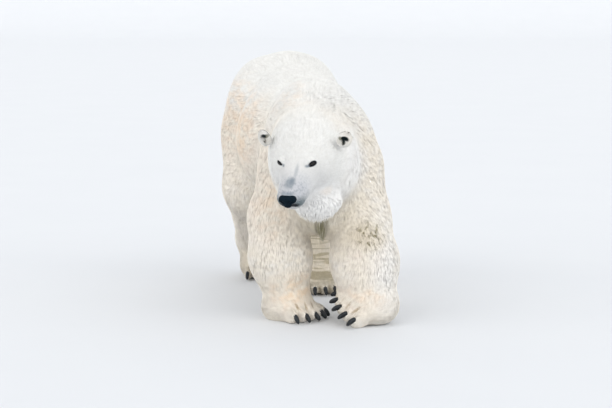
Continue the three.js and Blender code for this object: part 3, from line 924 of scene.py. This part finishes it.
cell_coarse, cell_fine, cell_lids = ((13.0, 3.8, 2.0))
lines = [
    spaced(
        (-420, cell_coarse), (-345, cell_fine), (-318, cell_lids), (-262, cell_fine),
        (-182, cell_lids), (-122, cell_fine), (45, cell_coarse), (430, 0),
    ),
    spaced(
        (-690, cell_coarse), (-665, cell_fine), (-550, cell_lids), (-430, cell_fine),
        (-235, cell_coarse), (1570, 0),
    ),
    spaced(
        (-25, cell_coarse), (600, cell_fine), (795, cell_lids), (860, cell_fine),
        (990, cell_coarse), (1330, 0),
    ),
]
skin_points, skin_faces = surface_net(lidded_skin, lines)
skin_points[:, 2] = np.maximum(skin_points[:, 2], 0)
skin = piece_of("skin", in_frame(skin_points), skin_faces, skin_material())
FLESH = [
    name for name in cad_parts
    if not name.startswith(("claw_", "eye_", "nose_"))
]
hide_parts(*FLESH)


def thinned(piece, share):
    """Collapses edges where the mesh is plain, keeping this share of its faces."""
    modifier = piece.modifiers.new("thin", "DECIMATE")
    modifier.ratio = share
    applied = bpy.data.meshes.new_from_object(piece.evaluated_get(bpy.context.evaluated_depsgraph_get()))
    piece.modifiers.clear()
    old = piece.data
    piece.data = applied
    bpy.data.meshes.remove(old)


thinned(skin, 0.62)
print("skin", len(skin.data.loops) - 2 * len(skin.data.polygons), "triangles")

# ------------------------------------------------------------------ the lie of the coat

def normalised(v):
    return v / np.maximum(np.linalg.norm(v, axis=1), 1e-6)[:, None]


def as_world(direction):
    return np.array(HEAD_FRAME.to_3x3() @ Vector(direction))


def lie(points, r):
    """The way the hair points, before it is laid on the skin."""
    x, y, z = points.T
    side = np.tanh((x - mix(-80, HIP_SWAY, smooth(y, -200, 300))) / 60)
    flank = smooth(1180 - z, 60, 330)
    body = np.stack([side * 0.06, np.ones_like(x), -0.95 * flank], 1)
    front = 1 - smooth(y, -120, 260)
    chest = np.stack([0.30 + side * 0.25, 0.45 + 0 * x, -0.25 - 1.0 * flank], 1)
    flow = mix(body, chest, front[:, None])
    down = np.stack([0 * x, 0.22 + 0 * x, -1 + 0 * x], 1)
    flow = mix(flow, down, r["leg"][:, None])
    for leg in LEGS.values():
        m = np.array(leg["frame"].inverted())
        px, py, pz = turned(m, x, y, z)
        near = (1 - smooth(np.hypot(px, py), 200, 280)) * r["foot"]
        ahead = np.array(leg["frame"].to_3x3() @ Vector((0, -1, -0.35)))
        flow = mix(flow, ahead[None, :], near[:, None])
    hx, hy, hz = r["local"]
    back = np.stack([
        0.35 * np.tanh(hx / 60),
        0.9 + 0 * hx,
        0.15 * smooth(hz, 0, 60) - 0.75 * smooth(-hz, -10, 90),
    ], 1)
    back = back @ np.array(HEAD_FRAME.to_3x3()).T
    flow = mix(flow, back, r["head"][:, None])
    hanging = np.stack([side * 0.08, 0.12 + 0 * x, -1 + 0 * x], 1)
    flow = mix(flow, hanging, np.maximum(r["beard"], r["tuft"])[:, None])
    rim = np.array(EAR_FRAME.to_3x3() @ Vector((0, -0.3, 1)))
    rim = np.stack([rim[0] * np.sign(hx), rim[1] + 0 * x, rim[2] + 0 * x], 1)
    rim = rim @ np.array(HEAD_FRAME.to_3x3()).T
    flow = mix(flow, rim, 0.8 * r["ear"][:, None])
    return normalised(flow)


def lock_size(points, r):
    """Length and width of a lock, in millimetres."""
    x, y, z = points.T
    low = 1 - smooth(z, 420, 620)
    under = (1 - smooth(z, 480, 640)) * (1 - r["leg"])
    length = 50 + 12 * under
    length = mix(length, 46, low)
    length = mix(length, 27, r["foot"])
    length = mix(length, 26, r["head"])
    length = mix(length, 48, r["beard"])
    length = mix(length, 14, r["face"])
    length = mix(length, 8, r["muzzle"])
    length = mix(length, 24, r["ear"])
    length = mix(length, 6, r["lid"])
    length = mix(length, 104, r["tuft"])
    return length, 0.9 + 0.062 * np.minimum(length, 60)


# ------------------------------------------------------------------ locks of hair

def scatter(points, faces, density):
    """Random places on the quads, as many to the square millimetre as density says."""
    tri = np.concatenate([faces[:, [0, 1, 2]], faces[:, [0, 2, 3]]])
    a, b, c = (points[tri[:, i]] for i in range(3))
    normal = np.cross(b - a, c - a)
    area = np.linalg.norm(normal, axis=1) / 2
    middle = (a + b + c) / 3
    wanted = area * density(middle)
    count = np.floor(wanted + rng.random(len(wanted))).astype(int)
    pick = np.repeat(np.arange(len(tri)), count)
    u, v = rng.random(len(pick)), rng.random(len(pick))
    flip = u + v > 1
    u[flip], v[flip] = 1 - u[flip], 1 - v[flip]
    return a[pick] + u[:, None] * (b - a)[pick] + v[:, None] * (c - a)[pick]


COVER = 2.8


def density(points):
    """Locks to the square millimetre. Short hair is sparser, as the skin's own grain shows it."""
    r = regions(*points.T)
    length, width = lock_size(points, r)
    cover = COVER * mix(1, 0.8, r["foot"]) * mix(1, 0.6, r["face"]) * mix(1, 0.6, r["muzzle"])
    return np.where(points[:, 2] < 12, 0, cover / (0.5 * length * width))


roots = scatter(skin_points.astype(np.float64), skin_faces, density)
roots = roots.astype(np.float32)


def keep_clear(points):
    """Locks don't grow on the nose, the lids or the lips' edge, nor inside the ears."""
    hx, hy, hz = turned(TO_HEAD, *points.T)
    hx = np.abs(hx)
    ex, ey, ez = turned(EYE_FRAME.inverted(), hx, hy, hz)
    eye = (ex / 18.5) ** 2 + (ez / 8.5) ** 2 + (np.maximum(ey - 5, 0) / 40) ** 2 < 1
    eye &= (ey > 0) & (ey < 40)
    nose = ((hx / 42) ** 2 + ((hy + 318) / 27) ** 2 + ((hz + 30) / 34) ** 2) < 1
    mouth = mouth_groove(hx, hy, hz) < 2.2
    ax, ay, az = turned(EAR_FRAME.inverted(), hx, hy, hz)
    cup = ((ax + 5) / 13) ** 2 + ((ay + 17) / 21) ** 2 + ((az - 10) / 12) ** 2 < 1
    return ~(eye | nose | mouth | cup)


roots = roots[keep_clear(roots)]
print("locks", len(roots))


def laid_on(points, target):
    """Points moved along the slope of the coat's form until they lie target from it."""
    d, gx, gy, gz = gradient(coat_form, *points.T.copy())
    slope = normalised(np.stack([gx, gy, gz], 1))
    return points - (d - target)[:, None] * slope, slope


def clump_centres(points, spacing):
    """For each point the index of a nearby point that its lock leans to."""
    chosen = rng.permutation(len(points))[: max(1, int(len(points) / spacing))]
    tree = KDTree(len(chosen))
    for i, index in enumerate(chosen):
        tree.insert(points[index], i)
    tree.balance()
    return chosen[np.array([tree.find(p)[1] for p in points])]


def swirl(points, scale, seed):
    """A slow, smooth turn of the coat from place to place, from a few sine waves."""
    waves = np.random.default_rng(seed)
    total = np.zeros(len(points), np.float32)
    for _ in range(5):
        direction = waves.normal(size=3)
        direction *= (1 + waves.random()) / scale / np.linalg.norm(direction)
        total += np.sin(points @ direction.astype(np.float32) * 2 * math.pi + waves.random() * 6.28)
    return total / 2.2


TUFT_END = np.array([-34, -122, 404])


def turned_slopes(slopes, r):
    """Slopes turned towards the front of the ruff and the flat of the ear, so their rims stay light."""
    hx = r["local"][0]
    flat = np.array(EAR_FRAME.to_3x3() @ Vector((0, -1, 0)))
    flat = np.stack([flat[0] * np.sign(hx), flat[1] + 0 * hx, flat[2] + 0 * hx], 1)
    flat = flat @ np.array(HEAD_FRAME.to_3x3()).T
    facing = np.where((slopes[0] * flat).sum(1) > -0.5, 1.0, -1.0)
    push = (1.2 * smooth(r["ear"], 0.55, 0.95) * facing)[:, None] * flat
    push += (0.5 * r["beard"])[:, None] * np.array([-0.15, -0.85, 0.5])
    return tuple(normalised(slope + push) for slope in slopes)


def make_locks(points):
    """Each lock's root, middle and tip, the skin's slope at each, and its width."""
    r = regions(*points.T)
    length, width = lock_size(points, r)
    length = length * rng.uniform(0.75, 1.2, len(points))
    width = width * rng.uniform(0.8, 1.2, len(points))
    depth = coat_depth(*points.T)
    _, up = laid_on(points, 0)
    along = lie(points, r)
    along = normalised(along - (along * up).sum(1)[:, None] * up)
    side = np.cross(up, along)
    wander = 0.14 * swirl(points, 320, 3) + 0.10 * swirl(points, 110, 5)
    wander = wander * (1 - 0.6 * r["head"]) + rng.normal(0, 0.07, len(points))
    along = normalised(along + wander[:, None] * side)
    middle = points + along * (0.45 * length)[:, None]
    tip = points + along * length[:, None]
    leader = clump_centres(points, 10)
    lean = (0.20 * (1 - 0.6 * r["face"]))[:, None]
    tip = tip + lean * (tip[leader] - tip)
    middle = middle + 0.45 * lean * (middle[leader] - middle)
    gathered = (0.7 * r["tuft"])[:, None]
    tip = mix(tip, TUFT_END + 0.12 * (points - TUFT_END), gathered)
    middle = mix(middle, (points + tip) / 2, gathered)
    rise = rng.uniform(0.02, 0.4, len(points))
    ragged = r["beard"] * (0.2 + 0.4 * smooth(-r["local"][2], 170, 215))
    fuzz = 0.012 * (1 - r["head"]) + 0.09 * r["leg"]
    loose = np.maximum.reduce([r["tuft"], 0.45 * r["ear"], ragged, fuzz])[:, None]
    low_middle, middle_up = laid_on(middle, -depth * (0.4 + 0.3 * rise))
    low_tip, tip_up = laid_on(tip, -depth * rise * 0.6 - 0.2)
    middle = mix(low_middle, middle, 0.7 * loose * r["tuft"][:, None])
    tip = mix(low_tip, tip, loose)
    under = smooth(-up[:, 2], 0.15, 0.75) * (1 - r["foot"])
    drop = under * np.maximum(r["beard"], 0.45 * (1 - r["head"])) * rng.uniform(0, 1, len(points))
    tip[:, 2] -= 0.55 * drop * length
    middle[:, 2] -= 0.12 * drop * length
    root = points - up * (1.0 + 0.15 * depth)[:, None]
    slopes = turned_slopes((up, middle_up, tip_up), r)
    return root, middle, tip, slopes, width, r


def lock_mesh(name, root, middle, tip, slopes, width, uv, own, material):
    """One joined mesh of closed, three-sided locks, pointed at root and tip."""
    count = len(root)
    up = slopes[1]
    along = normalised(tip - root)
    side = normalised(np.cross(up, along))
    half = (width / 2)[:, None]
    points = np.stack([root, middle - side * half, middle + up * half * 0.6, middle + side * half, tip], 1)
    points[..., 2] = np.maximum(points[..., 2], 1.0)
    pattern = np.array([(0, 1, 2), (0, 2, 3), (0, 3, 1), (4, 2, 1), (4, 3, 2), (4, 1, 3)])
    faces = (np.arange(count)[:, None, None] * 5 + pattern).reshape(-1, 3)
    piece = piece_of(name, in_frame(points.reshape(-1, 3)), faces, material)
    mesh = piece.data
    spread = 0.2 * side
    normals = np.stack([slopes[0], up - spread, up, up + spread, slopes[2]], 1).reshape(-1, 3)
    mesh.normals_split_custom_set_from_vertices(normalised(normals))
    patch = 0.0015 * np.array([(0, -1), (-1, 0), (0, 0.2), (1, 0), (0, 1)])
    layer = mesh.uv_layers.new(name="OFBake")
    corners = (uv[:, None, :] + patch).reshape(-1, 2)[faces.ravel()]
    layer.data.foreach_set("uv", np.ascontiguousarray(corners, np.float32).ravel())
    for label, value in (
        ("tip", np.tile([0, 0.45, 0.5, 0.45, 1.0], count)),
        ("own", np.repeat(own, 5)),
    ):
        mesh.attributes.new(label, "FLOAT", "POINT").data.foreach_set(
            "value", np.ascontiguousarray(value, np.float32)
        )
    return piece


def unwrapped(points, part):
    """Places of points on the part's skin, rolled off round the part's own axis."""
    if part.startswith(("head", "face")):
        hx, hy, hz = turned(TO_HEAD, *points.T)
        angle, along = np.arctan2(hx, hz + 20), hy
    elif "leg" in part:
        bar = LEGS[part.split("-")[0]]["bars"]
        line = np.array([bar[0][0], bar[0][1], bar[1][1], bar[2][1]], float)[::-1]
        cx = np.interp(points[:, 2], line[:, 2], line[:, 0])
        cy = np.interp(points[:, 2], line[:, 2], line[:, 1])
        angle, along = np.arctan2(points[:, 0] - cx, points[:, 1] - cy), points[:, 2]
    else:
        cx = mix(-80, HIP_SWAY, smooth(points[:, 1], -200, 300))
        angle, along = np.arctan2(points[:, 0] - cx, points[:, 2] - 830), points[:, 1]
    along = (along - along.min()) / max(np.ptp(along), 1)
    return 0.005 + 0.99 * np.stack([angle / (2 * math.pi) + 0.5, along], 1)


def part_of(points, r):
    """The name of the coat piece that each lock belongs to."""
    x, y, z = points.T
    names = np.where(y < 520, "shoulders", "rump").astype(object)
    names[(y >= 330) & (y < 900)] = "barrel"
    names[(y < 60) & (z > 480)] = "neck"
    nearest = np.argmin([field(x, y, z) for field in leg_fields], 0)
    low = z < 520
    for i, name in enumerate(LEGS):
        names[low & (nearest == i)] = name
    names[r["head"] > 0.5] = "head"
    names[r["face"] > 0.6] = "face"
    return names.astype(str)


MOST = 33_000
fur = fur_material()
root, middle, tip, slopes, width, r = make_locks(roots)
parts = part_of(roots, r)
own = rng.uniform(-1, 1, len(roots))
for part in sorted(set(parts)):
    chosen = np.flatnonzero(parts == part)
    uv = unwrapped(roots[chosen], part)
    shares = math.ceil(len(chosen) / MOST)
    order = np.argsort(uv[:, 1], kind="stable")
    for i, share in enumerate(np.array_split(order, shares)):
        these = chosen[share]
        name = f"coat_{part}" + (f"_{i + 1}" if shares > 1 else "")
        lock_mesh(
            name, root[these], middle[these], tip[these], [s[these] for s in slopes],
            width[these], uv[share], own[these], fur,
        )
        print(name, len(these))

# ------------------------------------------------------------------ eyes, nose and claws

def uv_ball(rings, segments):
    """A ball of radius 1 with its pole on +y: points and quads, with thin quads at the poles."""
    v = np.linspace(0, math.pi, rings + 1)
    u = np.linspace(0, 2 * math.pi, segments, endpoint=False)
    points = [(0, 1, 0)]
    for a in v[1:-1]:
        points += [(math.sin(a) * math.cos(b), math.cos(a), math.sin(a) * math.sin(b)) for b in u]
    points.append((0, -1, 0))
    faces = []
    for k in range(segments):
        nxt = (k + 1) % segments
        faces.append((0, 1 + nxt, 1 + k))
        for ring in range(rings - 2):
            a, b = 1 + ring * segments, 1 + (ring + 1) * segments
            faces.append((a + k, a + nxt, b + nxt))
            faces.append((a + k, b + nxt, b + k))
        last = 1 + (rings - 2) * segments
        faces.append((last + k, last + nxt, len(points) - 1))
    return np.array(points), np.array(faces)


eye_look = eye_material()
for name, side in (("eye_left", 1), ("eye_right", -1)):
    ball, faces = uv_ball(20, 32)
    bulge = 1 + 0.06 * smooth(ball[:, 1], 0.68, 0.86)
    ball = ball * bulge[:, None] * EYE_RADIUS * HEAD_SCALE / 1000
    piece = piece_of("ball_" + name, ball, faces, eye_look)
    low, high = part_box(name)
    out = EYE_FORWARD.copy()
    out.x *= side
    forward = (HEAD_FRAME.to_3x3() @ out).normalized()
    piece.matrix_world = Matrix.Translation((low + high) / 2) @ forward.to_track_quat("Y", "Z").to_matrix().to_4x4()
    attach(piece, "root")
    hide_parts(name)

NOSE_X, NOSE_Y, NOSE_Z = NOSE_PLACE
nose_pad = blend(
    9,
    ellipsoid((0, NOSE_Y + 2, NOSE_Z + 8), (35, 20, 18)),
    both_sides(ellipsoid((25, NOSE_Y, NOSE_Z + 7), (13, 17, 15))),
    ellipsoid((0, NOSE_Y - 5, NOSE_Z - 11), (20, 17, 18)),
)
nostril = both_sides(blend(
    4,
    taper((13, NOSE_Y - 22, NOSE_Z - 2), (24, NOSE_Y - 17, NOSE_Z + 5), 6.8, 5.6),
    taper((23, NOSE_Y - 17, NOSE_Z + 4), (34, NOSE_Y - 8, NOSE_Z - 5), 3.8, 2.0),
))
philtrum = taper((0, NOSE_Y - 25, NOSE_Z - 4), (0, NOSE_Y - 20, NOSE_Z - 30), 1.8, 2.6)
nose_form = hollow(2.5, hollow(3, nose_pad, nostril), philtrum)
nose_field = placed(HEAD_FRAME, nose_form, HEAD_SCALE)
low, high = (np.array(v) * 1000 - FLOOR_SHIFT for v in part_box("nose_pad"))
step = 1.7
nose_lines = [np.arange(a - 8, b + 8, step).astype(np.float32) for a, b in zip(low, high)]
nose_points, nose_faces = surface_net(nose_field, nose_lines)
nose = piece_of("nose", in_frame(nose_points), nose_faces, nose_material())
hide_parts("nose_pad")


def claw_mesh(segments=14, stations=12):
    """A curved claw, flatter below, in its toe's frame. Millimetres."""
    s = np.linspace(0, 1, stations + 1)
    angle = np.linspace(0, 2 * math.pi, segments, endpoint=False)
    bend = math.radians(CLAW_BEND)
    radius = CLAW_LENGTH / bend
    points = []
    for share in s[:-1]:
        thick = CLAW_RADIUS * math.sqrt(1 - share**3) * 0.97
        for a in angle:
            across = math.cos(a) * thick * (0.78 + 0.12 * (math.sin(a) > 0))
            out = radius + math.sin(a) * thick * 1.15
            turn = share * bend
            points.append((across, -math.sin(turn) * out, math.cos(turn) * out - radius))
    points.append((0, -math.sin(bend) * radius, math.cos(bend) * radius - radius))
    points.append((0, 0, 0))
    faces = []
    for i in range(stations - 1):
        for k in range(segments):
            nxt = (k + 1) % segments
            a, b = i * segments, (i + 1) * segments
            faces += [(a + k, b + k, b + nxt), (a + k, b + nxt, a + nxt)]
    last = (stations - 1) * segments
    for k in range(segments):
        nxt = (k + 1) % segments
        faces.append((last + k, len(points) - 2, last + nxt))
        faces.append((k, nxt, len(points) - 1))
    return np.array(points), np.array(faces)


horn = horn_material()
claw_points, claw_faces = claw_mesh()
for leg_name, leg in LEGS.items():
    all_points, all_faces = [], []
    for i, (at, turn) in enumerate(toes_of(leg["paw"])):
        local = frame_at((at[0], at[1], at[2] + 18), yaw=turn, pitch=leg["claw_pitch"])
        whole = leg["frame"] @ local @ Matrix.Translation((0, -ROOT_DEPTH, 0))
        moved = np.stack(turned(whole, *claw_points.T), 1)
        all_faces.append(claw_faces + len(claw_points) * i)
        all_points.append(moved)
    points = in_frame(np.concatenate(all_points))
    piece = piece_of(f"claws_{leg_name}", points, np.concatenate(all_faces), horn)
    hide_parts(*[f"claw_{leg_name}_{i}" for i in range(1, 6)])

# ------------------------------------------------------------------ floor, light and camera

floor_look = Nodes("floor")
grain = floor_look.noise(1.2, 4.0)
floor_colour = floor_look.colour_mix(grain, (0.70, 0.715, 0.74), (0.725, 0.74, 0.76))
floor_look.finish(floor_colour, 0.85)
FLOOR_RADIUS = 60.0
BACKDROP_BEND = 20.0
SEGMENTS = 128
bend = np.radians(np.linspace(0, 80, 24))
profile = [(FLOOR_RADIUS * share, 0.0) for share in (0.05, 0.2, 0.5)]
profile += [
    (FLOOR_RADIUS + BACKDROP_BEND * math.sin(a), BACKDROP_BEND * (1 - math.cos(a))) for a in bend
]
turns = np.linspace(0, 2 * math.pi, SEGMENTS, endpoint=False)
rings = [(r * math.cos(a), r * math.sin(a), z) for r, z in profile for a in turns]
spans = [
    (i * SEGMENTS + k, i * SEGMENTS + (k + 1) % SEGMENTS,
     (i + 1) * SEGMENTS + (k + 1) % SEGMENTS, (i + 1) * SEGMENTS + k)
    for i in range(len(profile) - 1) for k in range(SEGMENTS)
]
floor_mesh = bpy.data.meshes.new("floor")
floor_mesh.from_pydata(rings, [], [face[::-1] for face in spans] + [tuple(range(SEGMENTS))])
floor_mesh.polygons.foreach_set("use_smooth", [True] * len(floor_mesh.polygons))
floor = bpy.data.objects.new("floor", floor_mesh)
bpy.context.scene.collection.objects.link(floor)
floor.data.materials.append(floor_look.material)
floor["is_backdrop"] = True

world = bpy.data.worlds.new("studio")
bpy.context.scene.world = world
world.use_nodes = True
world.node_tree.nodes["Background"].inputs[0].default_value = (0.955, 0.975, 1.0, 1)
world.node_tree.nodes["Background"].inputs[1].default_value = 0.94
bpy.context.scene.view_settings.view_transform = "Standard"


def add_light(name, direction, strength, colour):
    """A broad, soft light from far off. direction points from the bear to it."""
    data = bpy.data.lights.new(name, "SUN")
    data.angle = math.radians(70)
    data.energy = strength
    data.color = colour
    light = bpy.data.objects.new(name, data)
    light.location = Vector(direction) * 3
    light.rotation_euler = Vector(direction).to_track_quat("Z", "Y").to_euler()
    bpy.context.scene.collection.objects.link(light)


add_light("key", (0.5, -0.85, 0.36), 1.45, (1.0, 0.99, 0.97))
add_light("fill", (-0.85, -0.45, 0.28), 1.3, (1.0, 0.98, 0.95))
add_light("rear", (0.2, 0.95, 0.35), 0.35, (1.0, 0.99, 0.97))

AZIMUTH, ELEVATION = math.radians(-9.5), math.radians(7.0)
back = Vector((
    math.sin(AZIMUTH) * math.cos(ELEVATION),
    -math.cos(AZIMUTH) * math.cos(ELEVATION),
    math.sin(ELEVATION),
))
camera_data = bpy.data.cameras.new("camera")
camera_data.sensor_width = 36
camera_data.lens = 1640 / 612 * 36
camera_data.clip_end = 400
camera = bpy.data.objects.new("camera", camera_data)
camera.location = (-1.382, -8.184, 1.537)
camera.rotation_euler = back.to_track_quat("Z", "Y").to_euler()
bpy.context.scene.collection.objects.link(camera)
bpy.context.scene.camera = camera

boxes = {"cad": cad_box, "visual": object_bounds()}
{name: [list(corner) for corner in box] for name, box in boxes.items()}
